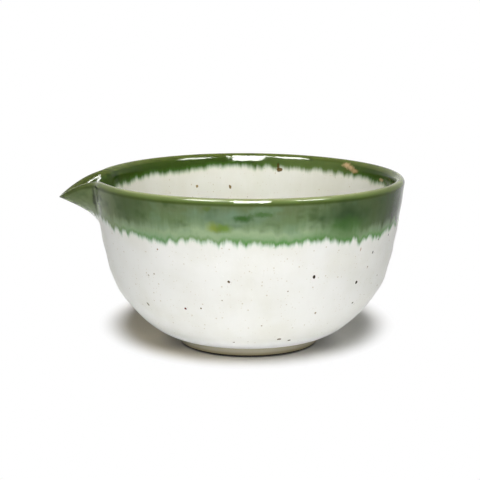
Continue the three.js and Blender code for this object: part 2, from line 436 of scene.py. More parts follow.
@dataclass
class RingWork:
    """A surface drawn up ring by ring as on the wheel, then pulled out with the spout."""

    form: BowlForm
    name: str
    columns: int = 288
    gather: float = 0.5
    row_step: float = 1.3
    lip_row_step: float = 0.32
    lip_reach: float = 6.0
    smooth_angle: float = 50.0

    def spaced_runs(self, from_run: float, to_run: float) -> list[float]:
        """Spaces rings along the section, closer together over the lip.

        Args:
            from_run: Run of the first ring, in millimetres from the crest.
            to_run: Run of the last ring.

        Returns:
            The runs of all rings.
        """
        runs = [from_run]
        while runs[-1] > to_run:
            near_lip = abs(runs[-1]) < self.lip_reach
            runs.append(runs[-1] - (self.lip_row_step if near_lip else self.row_step))
        runs[-1] = to_run
        return runs

    def draw_rings(self, rows: list[Station], below: float) -> bpy.types.Object:
        """Starts with one ring and extrudes it ring by ring along the section.

        Args:
            rows: Stations of the rings; one on the axis closes the surface there.
            below: Depth under the glaze's face, in millimetres.

        Returns:
            The surface of revolution.
        """
        axis = self.form.axis_x * MM
        spots = [(row.radius - row.out * below, row.height - row.up * below) for row in rows]
        deselect_everything()
        bpy.ops.mesh.primitive_circle_add(
            vertices=self.columns,
            radius=spots[0][0] * MM,
            location=(axis, 0.0, spots[0][1] * MM),
        )
        piece = bpy.context.object
        piece.name = self.name
        piece.data.name = self.name
        bpy.ops.object.transform_apply(location=True, rotation=True, scale=True)
        with editing():
            for (radius, height), (next_radius, next_height) in zip(spots, spots[1:]):
                rise = (next_height - height) * MM
                bpy.ops.mesh.extrude_region_move(TRANSFORM_OT_translate={"value": (0.0, 0.0, rise)})
                if next_radius > TINY:
                    size = next_radius / radius
                    centre = (axis, 0.0, next_height * MM)
                    bpy.ops.transform.resize(value=(size, size, 1.0), center_override=centre)
                else:
                    bpy.ops.mesh.merge(type="CENTER")
        return piece

    def pull_spout(self, piece: bpy.types.Object, rows: list[Station], below: float) -> None:
        """Moves every vertex with the potter's pull and writes its run from the crest.

        Args:
            piece: The surface of revolution.
            rows: Stations of its rings.
            below: Depth under the glaze's face, in millimetres.
        """
        tree = KDTree(len(rows))
        for index, row in enumerate(rows):
            spot = (row.radius - row.out * below, row.height - row.up * below, 0.0)
            tree.insert(spot, index)
        tree.balance()
        mesh = piece.data
        runs = mesh.attributes.new(RUN, "FLOAT", "POINT")
        for vertex in mesh.vertices:
            x = vertex.co.x / MM - self.form.axis_x
            y = vertex.co.y / MM
            _, index, _ = tree.find((math.hypot(x, y), vertex.co.z / MM, 0.0))
            angle = math.atan2(y, -x)
            angle -= self.gather * math.sin(angle)
            vertex.co = self.form.placed(rows[index], angle, below)
            runs.data[vertex.index].value = rows[index].run

    def turn_faces(self, piece: bpy.types.Object, outwards: bool) -> None:
        """Makes the faces agree and turns them the wanted way.

        Args:
            piece: The pulled surface.
            outwards: Whether the lowest face looks away from the axis or down.
        """
        with editing():
            bpy.ops.mesh.select_all(action="SELECT")
            bpy.ops.mesh.normals_make_consistent(inside=False)
        lowest = min(piece.data.polygons, key=lambda polygon: polygon.center.z)
        away = lowest.center - Vector((self.form.axis_x * MM, 0.0, 0.0))
        away.z = -self.form.height * MM
        if (lowest.normal.dot(away) > 0.0) != outwards:
            with editing():
                bpy.ops.mesh.select_all(action="SELECT")
                bpy.ops.mesh.flip_normals()


@dataclass(kw_only=True)
class GlazeCoat(RingWork):
    """One coat of glaze over a run of the section."""

    node: str
    slot: str
    face: Face
    from_run: float
    to_run: float
    thickness: float = 0.45

    def rows(self) -> list[Station]:
        """Lays rings over the coat's run, the last two not too close together.

        Returns:
            One station for each ring.
        """
        runs = self.spaced_runs(self.from_run, self.to_run)
        if runs[-2] - runs[-1] < self.lip_row_step / 2.0:
            runs.pop(-2)
        return [self.form.at_run(run) for run in runs]

    def build(self) -> bpy.types.Object:
        """Makes the coat and hides the imported node that it stands for.

        Returns:
            The finished piece.
        """
        rows = self.rows()
        piece = self.draw_rings(rows, 0.0)
        self.pull_spout(piece, rows, 0.0)
        self.turn_faces(piece, self.face is not Face.INSIDE)
        solidify = piece.modifiers.new("coat", "SOLIDIFY")
        solidify.thickness = self.thickness * MM
        solidify.offset = -1.0
        solidify.use_even_offset = False
        bpy.ops.object.modifier_apply(modifier=solidify.name)
        bpy.ops.object.shade_smooth_by_angle(angle=math.radians(self.smooth_angle))
        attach(piece, "root")
        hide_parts(self.node)
        log.info("%s: %d rings %s", self.name, len(rows), self.face.value)
        return piece


@dataclass
class ClayBody(RingWork):
    """The thrown clay under the glaze, spout and all, closed by the ceiling of the recess."""

    row_step: float = 3.0
    lip_row_step: float = 1.0
    lip_reach: float = 7.0
    smooth_angle: float = 40.0
    ceiling_parts: int = 12
    ceiling_run: float = 40.0

    def rows(self) -> list[Station]:
        """Goes round the whole section, from the middle of the underside to that of the floor.

        Returns:
            One station for each ring.
        """
        form = self.form
        first, last = form.section[0], form.section[-1]
        under = form.underside - form.glaze_build
        ceiling = []
        for part in range(1, self.ceiling_parts):
            radius = first.radius * part / self.ceiling_parts
            ceiling.append(Station(radius, under, 0.0, -1.0, first.run + self.ceiling_run, 1.0))
        return ceiling + [form.at_run(run) for run in self.spaced_runs(first.run, last.run)]

    def build(self) -> bpy.types.Object:
        """Makes the clay body and hides the imported nodes that it stands for.

        Returns:
            The finished piece.
        """
        below = self.form.glaze_build
        rows = self.rows()
        piece = self.draw_rings(rows, below)
        self.pull_spout(piece, rows, below)
        self.close_ceiling(piece)
        self.turn_faces(piece, True)
        bpy.ops.object.shade_smooth_by_angle(angle=math.radians(self.smooth_angle))
        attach(piece, "root")
        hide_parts("thrown_bowl", "pouring_spout")
        log.info("%s: %d rings", self.name, len(rows))
        return piece

    def close_ceiling(self, piece: bpy.types.Object) -> None:
        """Closes the smallest ring of the underside with a disc of faces to its middle.

        Args:
            piece: The surface, open only there.
        """
        with editing():
            bpy.ops.mesh.select_mode(type="EDGE")
            bpy.ops.mesh.select_all(action="DESELECT")
            bpy.ops.mesh.select_non_manifold(extend=False)
            bpy.ops.mesh.extrude_region_move(TRANSFORM_OT_translate={"value": (0.0, 0.0, 0.0)})
            bpy.ops.mesh.merge(type="CENTER")
            bpy.ops.mesh.select_mode(type="VERT")


@dataclass
class FootPart:
    """The turned foot or the glaze on its side: a section from a plane, spun about the axis."""

    axis_x: float
    node: str
    slot: str
    outer_radius: float
    inner_radius: float
    low: float
    high: float
    edge: float
    taper: float = 0.6
    edge_segments: int = 5
    steps: int = 160
    weld: float = 0.01
    smooth_angle: float = 40.0

    def build(self) -> bpy.types.Object:
        """Makes the piece and names what it stands for.

        Returns:
            The finished piece.
        """
        piece = self.section()
        self.spin(piece)
        runs = piece.data.attributes.new(RUN, "FLOAT", "POINT")
        for item in runs.data:
            item.value = FOOT_RUN
        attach(piece, "root")
        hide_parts(self.node)
        log.info("%s: spun in %d steps", self.node, self.steps)
        return piece

    def section(self) -> bpy.types.Object:
        """Shapes the section from a plane: sized, tapered and rounded.

        Returns:
            The flat section, standing in the plane of X and Z.
        """
        width = self.outer_radius - self.inner_radius
        middle = self.axis_x + (self.outer_radius + self.inner_radius) / 2.0
        half_way = (self.low + self.high) / 2.0
        deselect_everything()
        bpy.ops.mesh.primitive_plane_add(
            size=1.0,
            location=(middle * MM, 0.0, half_way * MM),
            rotation=(math.radians(90.0), 0.0, 0.0),
        )
        piece = bpy.context.object
        piece.name = f"{self.node}_fine"
        piece.data.name = piece.name
        piece.scale = (width * MM, (self.high - self.low) * MM, 1.0)
        bpy.ops.object.transform_apply(location=True, rotation=True, scale=True)
        for vertex in piece.data.vertices:
            if vertex.co.x > middle * MM and vertex.co.z > half_way * MM:
                vertex.co.x += self.taper * MM
        self.pick(piece, lambda point: point.z < half_way * MM)
        with editing():
            bpy.ops.mesh.bevel(offset=self.edge * MM, segments=self.edge_segments, affect="VERTICES")
        return piece

    def pick(self, piece: bpy.types.Object, wanted: Callable[[Vector], bool]) -> None:
        """Selects the vertices that a test wants and nothing else.

        Args:
            piece: The mesh object.
            wanted: Test on a vertex's place.
        """
        for polygon in piece.data.polygons:
            polygon.select = False
        for edge in piece.data.edges:
            edge.select = False
        for vertex in piece.data.vertices:
            vertex.select = wanted(vertex.co)

    def spin(self, piece: bpy.types.Object) -> None:
        """Spins the section about the bowl's axis into a closed ring.

        Args:
            piece: The flat section.
        """
        centre = (self.axis_x * MM, 0.0, 0.0)
        with editing():
            bpy.ops.mesh.select_all(action="SELECT")
            bpy.ops.mesh.delete(type="ONLY_FACE")
            bpy.ops.mesh.select_all(action="SELECT")
            bpy.ops.mesh.spin(steps=self.steps, angle=2.0 * math.pi, center=centre, axis=UP)
            bpy.ops.mesh.select_all(action="SELECT")
            bpy.ops.mesh.remove_doubles(threshold=self.weld * MM)
            bpy.ops.mesh.normals_make_consistent(inside=False)
        bpy.ops.object.shade_smooth_by_angle(angle=math.radians(self.smooth_angle))


class Wire:
    """A socket of a material's graph, with Python's operators as Math nodes."""

    def __init__(self, graph: Graph, socket: bpy.types.NodeSocket) -> None:
        """Keeps the graph and the socket."""
        self.graph = graph
        self.socket = socket

    def math(self, operation: str, *others: Number) -> Wire:
        """Adds a Math node of one operation, with this wire as its first input."""
        return self.graph.node("ShaderNodeMath", {"operation": operation}, (self, *others))

    def __add__(self, other: Number) -> Wire:
        """Adds."""
        return self.math("ADD", other)

    def __radd__(self, other: Number) -> Wire:
        """Adds, reflected."""
        return self.math("ADD", other)

    def __sub__(self, other: Number) -> Wire:
        """Subtracts."""
        return self.math("SUBTRACT", other)

    def __rsub__(self, other: Number) -> Wire:
        """Subtracts, reflected."""
        return self.graph.node("ShaderNodeMath", {"operation": "SUBTRACT"}, (other, self))

    def __mul__(self, other: Number) -> Wire:
        """Multiplies."""
        return self.math("MULTIPLY", other)

    def __rmul__(self, other: Number) -> Wire:
        """Multiplies, reflected."""
        return self.math("MULTIPLY", other)

    def above(self, start: float, end: float) -> Wire:
        """Rises smoothly from 0 at start to 1 at end; a start above the end falls instead."""
        settings = {"interpolation_type": "SMOOTHSTEP", "clamp": True}
        return self.graph.node("ShaderNodeMapRange", settings, (self, start, end, 0.0, 1.0))

    def beside(self, output: str) -> Wire:
        """Gives another output of the node that this wire comes from."""
        return Wire(self.graph, self.socket.node.outputs[output])


Number = Wire | float
Colour = Wire | tuple[float, float, float, float]
Triple = tuple[float, float, float]
Stops = tuple[tuple[float, str], ...]


@dataclass(frozen=True)
class Tone:
    """A paint, as six hexadecimal digits, and how much of the colour under it is hidden."""

    code: str
    strength: float = 1.0


class Graph:
    """Builds one material's node graph."""

    def __init__(self, name: str, tree: bpy.types.NodeTree | None = None) -> None:
        """Starts an empty material, or empties the tree that is given.

        Args:
            name: Name of the material.
            tree: Node tree of a world, or None for a new material.
        """
        if tree is None:
            self.material = bpy.data.materials.new(name)
            self.material.use_nodes = True
            tree = self.material.node_tree
        self.tree = tree
        self.tree.nodes.clear()

    def node(
        self,
        kind: str,
        settings: dict | None = None,
        values: tuple | dict = (),
        output: int | str = 0,
    ) -> Wire | None:
        """Adds one node.

        Args:
            kind: Blender's node type.
            settings: Properties, set before the sockets.
            values: Inputs by order or by name, each a value or a wire.
            output: Which output to return.

        Returns:
            The output as a wire, or None from a node that ends the graph.
        """
        node = self.tree.nodes.new(kind)
        for key, value in (settings or {}).items():
            setattr(node, key, value)
        pairs = values.items() if isinstance(values, dict) else enumerate(values)
        for key, value in pairs:
            if isinstance(value, Wire):
                self.tree.links.new(value.socket, node.inputs[key])
            else:
                node.inputs[key].default_value = value
        return Wire(self, node.outputs[output]) if node.outputs else None

    def vector(self, operation: str, *values: Wire | Triple) -> Wire:
        """Adds a Vector Math node whose result is a vector."""
        return self.node("ShaderNodeVectorMath", {"operation": operation}, values)

    def level(self, vector: Wire, depth: float = 1.0) -> Wire:
        """Takes the upright part from a vector and scales its part along Y."""
        return self.vector("MULTIPLY", vector, (1.0, depth, 0.0))

    def along(self, vector: Wire, direction: Triple) -> Wire:
        """Measures a vector along a direction."""
        settings = {"operation": "DOT_PRODUCT"}
        return self.node("ShaderNodeVectorMath", settings, (vector, direction), "Value")

    def length(self, vector: Wire) -> Wire:
        """Measures how long a vector is."""
        return self.node("ShaderNodeVectorMath", {"operation": "LENGTH"}, (vector,), "Value")

    def mix(self, factor: Wire, first: Colour, second: Colour) -> Wire:
        """Mixes two colours.

        Args:
            factor: 0 for the first colour, 1 for the second.
            first: One colour.
            second: The other colour.

        Returns:
            The mixed colour.
        """
        settings = {"data_type": "RGBA", "clamp_factor": True}
        inputs = dict(zip(COLOUR_MIX_INPUTS, (factor, first, second)))
        return self.node("ShaderNodeMix", settings, inputs, COLOUR_MIX_OUTPUT)

    def tone(self, colour: Colour, mask: Wire, tone: Tone) -> Wire:
        """Lays a tone over a colour where the mask is 1."""
        return self.mix(mask * tone.strength, colour, paint(tone.code))

    def millimetres(self, axis_x: float) -> Wire:
        """Gives the place on the object in millimetres from the bowl's axis and the table.

        Args:
            axis_x: The bowl's axis in the frame, in millimetres.

        Returns:
            The place.
        """
        place = self.node("ShaderNodeTexCoord", {}, (), "Object")
        centred = self.vector("SUBTRACT", place, (axis_x * MM, 0.0, 0.0))
        inputs = {0: centred, "Scale": 1.0 / MM}
        return self.node("ShaderNodeVectorMath", {"operation": "SCALE"}, inputs)

    def ramp(self, value: Wire, stops: Stops) -> Wire:
        """Turns a value into a colour.

        Args:
            value: The value.
            stops: Values and their paints, in order.

        Returns:
            The colour.
        """
        low = stops[0][0]
        span = stops[-1][0] - low
        part = (value - low) * (1.0 / span)
        colour = self.node("ShaderNodeValToRGB", {}, {"Fac": part}, "Color")
        band = colour.socket.node.color_ramp
        while len(band.elements) < len(stops):
            band.elements.new(1.0)
        for element, (at, code) in zip(band.elements, stops):
            element.position = (at - low) / span
            element.color = paint(code)
        return colour

    def noise(self, place: Wire, scale: float, detail: float = 2.0, roughness: float = 0.5) -> Wire:
        """Adds a noise around 0.5, with scale lumps for each unit of the place."""
        values = {"Vector": place, "Scale": scale, "Detail": detail, "Roughness": roughness}
        return self.node("ShaderNodeTexNoise", {"noise_dimensions": "3D"}, values, "Fac")

    def bump(self, height: Wire, depth: float) -> Wire:
        """Turns a height, of which 1 means the depth in millimetres, into a normal."""
        values = {"Strength": 1.0, "Distance": depth * MM, "Height": height}
        return self.node("ShaderNodeBump", {}, values, "Normal")

    def skin(self, colour: Wire, roughness: Wire, normal: Wire, ior: float) -> Wire:
        """Adds a Principled shader with an index of refraction."""
        values = {"Base Color": colour, "Roughness": roughness, "Normal": normal, "IOR": ior}
        return self.node("ShaderNodeBsdfPrincipled", {}, values)

    def blend(self, factor: Wire, first: Wire, second: Wire) -> Wire:
        """Mixes two shaders, from the first at 0 to the second at 1."""
        return self.node("ShaderNodeMixShader", {}, (factor, first, second))

    def finish(self, shader: Wire) -> bpy.types.Material:
        """Ends a material's graph in a shader and gives the material."""
        self.node("ShaderNodeOutputMaterial", {}, {"Surface": shader})
        return self.material


def paint(code: str) -> tuple[float, float, float, float]:
    """Turns a paint's screen colour into the linear colour that the shaders use.

    Args:
        code: Six hexadecimal digits.

    Returns:
        Linear red, green, blue and alpha.
    """
    parts = [int(code[start : start + 2], 16) / 255.0 for start in (0, 2, 4)]
    linear = [part / 12.92 if part <= 0.04045 else ((part + 0.055) / 1.055) ** 2.4 for part in parts]
    return (*linear, 1.0)


class Flow(Enum):
    """Patterns that run down the wall with the melted glaze, from slow waves to fine wisps.

    Each value holds the lumps for each radian round the bowl, the lumps for each millimetre
    down the wall, a shift that keeps the patterns apart, the octaves and the finer ones' share.
    """

    SLOW = (2.6, 0.0, 3.0, 1.0, 0.5)
    CLOUDS = (6.5, 0.16, 53.0, 2.0, 0.5)
    FINGERS = (15.0, 0.05, 11.0, 2.0, 0.5)
    STREAKS = (34.0, 0.1, 37.0, 3.0, 0.6)
    THREADS = (60.0, 0.16, 23.0, 2.0, 0.5)
    WISPS = (75.0, 0.22, 71.0, 2.0, 0.5)


class GlazeField:
    """Where a point of the glaze lies and how the glaze runs there, as wires of one graph.

    Attributes:
        graph: The material's graph.
        place: Coordinates in millimetres from the bowl's axis and the table.
        upright: Height above the table, in millimetres.
        around: Level direction from the axis, of length 1.
        rightwards: Its part along X, from -1 at the spout to 1 opposite it.
        run: Way along the surface from the crest of the rim, positive outside, in millimetres.
        down: The same way without its sign.
        inside: 1 inside the bowl, 0 outside.
        flow: The running patterns, each around 0.5.
    """

    def __init__(self, graph: Graph, axis_x: float) -> None:
        """Adds the nodes that all colours and bumps of the glaze share.

        Args:
            graph: The material's graph.
            axis_x: The bowl's axis in the frame, in millimetres.
        """
        self.graph = graph
        self.place = graph.millimetres(axis_x)
        self.upright = graph.along(self.place, UP)
        self.around = graph.vector("NORMALIZE", graph.level(self.place))
        self.rightwards = graph.along(self.around, RIGHT)
        self.run = graph.node("ShaderNodeAttribute", {"attribute_name": RUN}, (), "Fac")
        self.down = self.run.math("ABSOLUTE")
        self.inside = self.run.above(0.2, -0.2)
        self.flow = {flow: self.running(flow) for flow in Flow}

    def running(self, flow: Flow) -> Wire:
        """Makes a noise that is stretched down the wall.

        Args:
            flow: Which pattern it is.

        Returns:
            Its value, around 0.5.
        """
        across, along, shift, octaves, roughness = flow.value
        height = self.graph.node("ShaderNodeCombineXYZ", {}, (0.0, 0.0, self.down * along + shift))
        lumps = (across, across, across)
        place = self.graph.vector("MULTIPLY_ADD", self.around, lumps, height)
        return self.graph.noise(place, 1.0, octaves, roughness)


@dataclass(frozen=True)
class Spot:
    """A speck or patch at a place on the bowl, in millimetres from the bowl's axis.

    Attributes:
        place: Its middle.
        size: Half its width along X, along Y and upright.
        colour: Its paint.
        strength: How much of the glaze under it is hidden.
    """

    place: Triple
    size: Triple
    colour: str
    strength: float = 1.0

    def over(self, at: GlazeField, colour: Wire, softness: float) -> Wire:
        """Lays the spot over a colour, with a ragged outline.

        Args:
            at: Where the glaze lies.
            colour: Colour under it.
            softness: Part of its radius over which it fades.

        Returns:
            The colour with the spot.
        """
        graph = at.graph
        offset = graph.vector("SUBTRACT", at.place, self.place)
        away = graph.length(graph.vector("DIVIDE", offset, self.size))
        lumps = graph.noise(at.place, 0.9 / min(self.size), 1.0) - 0.5
        mask = (away + lumps * 0.9).above(1.0 + softness / 2.0, 1.0 - softness)
        return graph.tone(colour, mask, Tone(self.colour, self.strength))


@dataclass(frozen=True)
class Freckles:
    """Small round specks, scattered all over the glaze.

    Attributes:
        density: Cells for each millimetre.
        radius: Radius of a speck, as a part of its cell.
        empty: Part of the cells that stay empty.
        tone: Its paint and strength, or None where it is only a height.
    """

    density: float
    radius: float
    empty: float
    tone: Tone | None = None

    def mask(self, at: GlazeField) -> Wire:
        """Gives 1 in a speck and 0 outside.

        Args:
            at: Where the glaze lies.

        Returns:
            The mask.
        """
        settings = {"voronoi_dimensions": "3D", "feature": "F1"}
        values = {"Vector": at.place, "Scale": self.density, "Randomness": 1.0}
        distance = at.graph.node("ShaderNodeTexVoronoi", settings, values, "Distance")
        chance = at.graph.along(distance.beside("Color"), RED)
        chosen = chance.above(self.empty, self.empty + 0.05)
        return distance.above(self.radius, self.radius * 0.6) * chosen


@dataclass(frozen=True)
class DripEdge:
    """How far from the crest of the rim the green glaze has run, in millimetres."""

    outside: float = 17.2
    inside: float = 6.2
    waves: float = 3.2
    tongues_outside: float = 3.2
    tongues_inside: float = 2.0
    threads_outside: float = 0.7
    threads_inside: float = 0.8
    heavy_run: float = 1.6
    heavy_run_at: Triple = (0.73, -0.68, 0.0)
    less_outside_spout: float = 2.8
    more_inside_spout: float = 0.8
    more_inside_ends: float = 1.7
    lean_inside: float = 0.5

    def reach(self, at: GlazeField) -> Wire:
        """Gives how far the green reaches at every place.

        Args:
            at: Where the glaze lies.

        Returns:
            The reach in millimetres.
        """
        towards_spout = at.rightwards * -1.0
        spout = towards_spout.above(0.8, 1.0)
        waves = at.flow[Flow.SLOW] - 0.5
        tongues = at.flow[Flow.FINGERS].above(0.3, 0.85)
        threads = at.flow[Flow.THREADS] - 0.5
        heavy = at.graph.along(at.around, self.heavy_run_at).above(0.93, 0.99)
        outside = self.outside - spout * self.less_outside_spout + waves * self.waves
        outside = outside + tongues * self.tongues_outside + threads * self.threads_outside
        outside = outside + heavy * self.heavy_run
        within = self.inside + towards_spout * towards_spout * self.more_inside_ends
        within = within + spout * self.more_inside_spout + towards_spout * self.lean_inside
        within = within + tongues * self.tongues_inside + threads * self.threads_inside
        return outside + (within - outside) * at.inside


@dataclass(frozen=True)
class WhiteGlaze:
    """The white coat: faint clouds, tan freckles, the tan foot, and painted light and shade."""

    white: str = "e9e9e4"
    cream: str = "dddcd0"
    pale_streaks: Tone = Tone("f3f2ee", 0.35)
    # Painted light: the low wall is whitened as light bounced from the floor would brighten it.
    painted_bounce_near_foot: Tone = Tone("ffffff", 0.8)
    painted_bounce_under: tuple[float, float] = (10.5, 7.0)
    foot_tan: str = "b3ad98"
    # Painted shade: the foot's glaze darkens towards the table, where the belly shades it.
    foot_painted_shade: Tone = Tone("948a6c")
    foot_painted_shade_under: tuple[float, float] = (2.6, 0.9)
    freckles: tuple[Freckles, ...] = (
        Freckles(0.42, 0.16, 0.62, Tone("b9ab8d", 0.55)),
        Freckles(0.2, 0.085, 0.8, Tone("8d7a58", 0.8)),
        Freckles(0.75, 0.2, 0.55, Tone("cdc4ae", 0.5)),
    )

    def colour(self, at: GlazeField) -> Wire:
        """Colours the white glaze and, where the run says so, the foot.

        Args:
            at: Where the glaze lies.

        Returns:
            The colour.
        """
        graph = at.graph
        clouds = graph.noise(at.place, 0.06, 3.0).above(0.35, 0.75)
        colour = graph.mix(clouds * 0.55 + at.inside * 0.6, paint(self.white), paint(self.cream))
        colour = graph.tone(colour, at.flow[Flow.STREAKS] - 0.5, self.pale_streaks)
        for freckles in self.freckles:
            colour = graph.tone(colour, freckles.mask(at), freckles.tone)
        # Painted light from the floor, whitening the low wall.
        colour = graph.tone(colour, at.upright.above(*self.painted_bounce_under), self.painted_bounce_near_foot)
        # Painted shade low on the foot's glaze.
        dark_edge_and_painted_shade = at.upright.above(*self.foot_painted_shade_under)
        foot = graph.tone(paint(self.foot_tan), dark_edge_and_painted_shade, self.foot_painted_shade)
        return graph.mix(at.run.above(FOOT_RUN - 10.0, FOOT_RUN - 8.0), colour, foot)


@dataclass(frozen=True)
class GreenGlaze:
    """The green coat, from its dripping edge up to the crest of the rim.

    Stops on the wall are millimetres from the green's edge, those on the lip from the crest.
    """

    outer_wall: Stops = (
        (-1.0, "b4cbb0"),
        (-0.2, "86a784"),
        (0.8, "6f8e5d"),
        (2.2, "8fa480"),
        (4.2, "90a480"),
        (6.4, "778c67"),
        (9.0, "667b54"),
        (13.0, "606f4b"),
    )
    inner_wall: Stops = (
        (-1.0, "94ad70"),
        (-0.1, "5a7f3a"),
        (0.9, "3d5f20"),
        (2.4, "33490f"),
        (6.0, "3b4d16"),
    )
    # The pale first stops: thin glaze over the crest, made paler as a painted highlight.
    outer_lip: Stops = (
        (0.0, "b9b88c"),
        (0.8, "959c69"),
        (1.4, "76834d"),
        (2.2, "5d7038"),
        (3.2, "506128"),
    )
    # Pale at the crest where the glaze is thin, and paler as a painted highlight.
    inner_lip: Stops = ((0.0, "a5a478"), (0.5, "606c2e"), (3.2, "40501a"))
    warm_inside: Tone = Tone("6a7a45", 0.5)
    vivid_fringe: Tone = Tone("3f7f30", 0.65)
    cool_fringe: Tone = Tone("4f8a58", 0.4)
    # Painted shade on the green where the wall turns away from the front to the sides and back.
    painted_side_shade: Tone = Tone("38491d", 0.75)
    # Painted shade on the green at the end of the band opposite the spout.
    far_end_painted_shade: Tone = Tone("1c2f00", 0.8)
    near_spout: Tone = Tone("6f7d52", 0.75)
    dark_clouds: Tone = Tone("3a4e28", 0.6)
    pale_clouds: Tone = Tone("6f8c70", 0.35)
    dark_streaks: Tone = Tone("34601f", 0.45)
    milky_streaks: Tone = Tone("86a27c", 0.3)
    under_lip: Tone = Tone("3c4a12", 0.75)
    # Painted shade on the lip towards both ends, where it turns to the sides.
    lip_ends_painted_shade: Tone = Tone("64703a", 0.6)
    lip_of_spout: Tone = Tone("414a1f", 0.7)
    patch_softness: float = 0.75
    patches: tuple[Spot, ...] = (
        Spot((-8.0, -61.0, 61.0), (16.0, 8.0, 3.6), "6c8472", 0.45),
        Spot((-13.3, -59.6, 57.4), (3.0, 4.0, 2.1), "7c8c35", 0.8),
        Spot((-9.2, -60.2, 57.2), (3.0, 4.0, 1.9), "66842f", 0.8),
        Spot((-2.4, -61.4, 61.1), (3.9, 4.0, 1.5), "2f5419", 0.85),
        Spot((4.6, -61.5, 62.6), (4.6, 4.0, 1.1), "3c5f26", 0.7),
        Spot((-15.5, -60.0, 64.5), (1.6, 3.0, 1.0), "56692c", 0.6),
        Spot((35.4, -49.6, 60.6), (12.0, 11.5, 5.6), "1f3a1a", 0.75),
        Spot((35.0, -49.5, 54.6), (13.0, 12.0, 5.0), "3a6422", 0.6),
        Spot((41.6, 40.1, 65.9), (2.3, 2.4, 1.0), "bfa277", 0.9),
        Spot((43.2, 37.9, 65.0), (2.3, 2.4, 1.0), "bfa277", 0.9),
        Spot((44.7, 35.8, 64.0), (2.1, 2.4, 1.0), "b3976a", 0.9),
        Spot((54.4, 17.4, 63.0), (1.2, 2.6, 0.7), "b49c70", 0.85),
        Spot((13.2, 55.7, 64.0), (0.9, 2.2, 1.6), "3c5a2a", 0.8),
        # Painted shade down the crease beside the spout.
        Spot((-60.3, -14.5, 60.6), (1.3, 2.0, 6.6), "27330f", 0.9),
        # Painted shade in the spout's throat, over the far pinch.
        Spot((-54.3, 18.7, 63.6), (3.0, 3.0, 3.0), "223a08", 0.8),
    )

    def colour(self, at: GlazeField, above_edge: Wire) -> Wire:
        """Colours the green glaze all over.

        Args:
            at: Where the glaze lies.
            above_edge: Way from the green's edge towards the crest, in millimetres.

        Returns:
            The colour.
        """
        graph = at.graph
        # Painted shade: 1 where the wall turns from the front to the sides and the back.
        painted_side_shade = graph.along(at.around, FRONT).above(0.92, 0.62) * above_edge.above(1.0, 6.5)
        outer = self.outside(at, above_edge, painted_side_shade)
        colour = graph.mix(at.inside, outer, self.within(at, above_edge))
        colour = self.clouded(at, above_edge, painted_side_shade, colour)
        colour = self.streaked(at, painted_side_shade, colour)
        under_lip = at.down.above(1.9, 2.6) * at.down.above(4.2, 3.2) * (1.0 - at.inside)
        colour = graph.tone(colour, under_lip, self.under_lip)
        colour = graph.mix(at.down.above(3.2, 2.2) * 0.9, colour, self.lip(at))
        for patch in self.patches:
            colour = patch.over(at, colour, self.patch_softness)
        return colour

    def outside(self, at: GlazeField, above_edge: Wire, painted_side_shade: Wire) -> Wire:
        """Colours the outer wall, with a fringe of fresh green along its edge.

        Args:
            at: Where the glaze lies.
            above_edge: Way from the green's edge towards the crest, in millimetres.
            painted_side_shade: 1 where the wall turns to the sides and the back.

        Returns:
            The colour.
        """
        graph = at.graph
        slow = at.flow[Flow.SLOW]
        fringe = above_edge.above(-0.6, 0.8) * above_edge.above(4.6, 0.8)
        fringe = fringe * at.flow[Flow.FINGERS].above(0.3, 0.6)
        vivid = fringe * slow.above(0.3, 0.5) * at.rightwards.above(-0.5, -0.3)
        cool = fringe * slow.above(0.4, 0.55) * at.rightwards.above(-0.3, -0.5)
        # Painted shade at the end of the band opposite the spout.
        far_end_painted_shade = at.rightwards.above(0.78, 0.95) * above_edge.above(0.5, 5.0)
        near_spout = at.rightwards.above(-0.75, -0.92) * above_edge.above(-1.0, 1.0)
        colour = graph.ramp(above_edge, self.outer_wall)
        for mask, tone in (
            (vivid, self.vivid_fringe),
            (cool, self.cool_fringe),
            (painted_side_shade, self.painted_side_shade),
            (far_end_painted_shade, self.far_end_painted_shade),
            (near_spout, self.near_spout),
        ):
            colour = graph.tone(colour, mask, tone)
        return colour

    def within(self, at: GlazeField, above_edge: Wire) -> Wire:
        """Colours the inner wall, warmer between its middle and its right end."""
        warm = at.rightwards.above(-0.1, 0.4) * at.rightwards.above(0.9, 0.6)
        return at.graph.tone(at.graph.ramp(above_edge, self.inner_wall), warm, self.warm_inside)

    def clouded(self, at: GlazeField, above_edge: Wire, painted_side_shade: Wire, colour: Wire) -> Wire:
        """Lays dark and pale clouds over the green, up from its edge.

        Args:
            at: Where the glaze lies.
            above_edge: Way from the green's edge towards the crest, in millimetres.
            painted_side_shade: 1 where the wall turns to the sides and the back.
            colour: Colour under them.

        Returns:
            The colour.
        """
        clouds = at.flow[Flow.CLOUDS]
        dark = clouds.above(0.5, 0.7) * above_edge.above(2.5, 7.0)
        pale = clouds.above(0.48, 0.3) * above_edge.above(1.5, 5.0)
        pale = pale * (1.0 - at.inside) * (1.0 - painted_side_shade)
        colour = at.graph.tone(colour, dark, self.dark_clouds)
        return at.graph.tone(colour, pale, self.pale_clouds)

    def streaked(self, at: GlazeField, painted_side_shade: Wire, colour: Wire) -> Wire:
        """Lays dark and milky streaks over the green, down the wall.

        Args:
            at: Where the glaze lies.
            painted_side_shade: 1 where the wall turns to the sides and the back.
            colour: Colour under them.

        Returns:
            The colour.
        """
        streak = (at.flow[Flow.STREAKS] - 0.5) * 0.9 + (at.flow[Flow.THREADS] - 0.5) * 0.2
        milk = streak.above(0.0, -0.55) * (1.0 - at.inside * 0.7) * (1.0 - painted_side_shade * 0.7)
        colour = at.graph.tone(colour, streak.above(0.0, 0.55), self.dark_streaks)
        return at.graph.tone(colour, milk, self.milky_streaks)

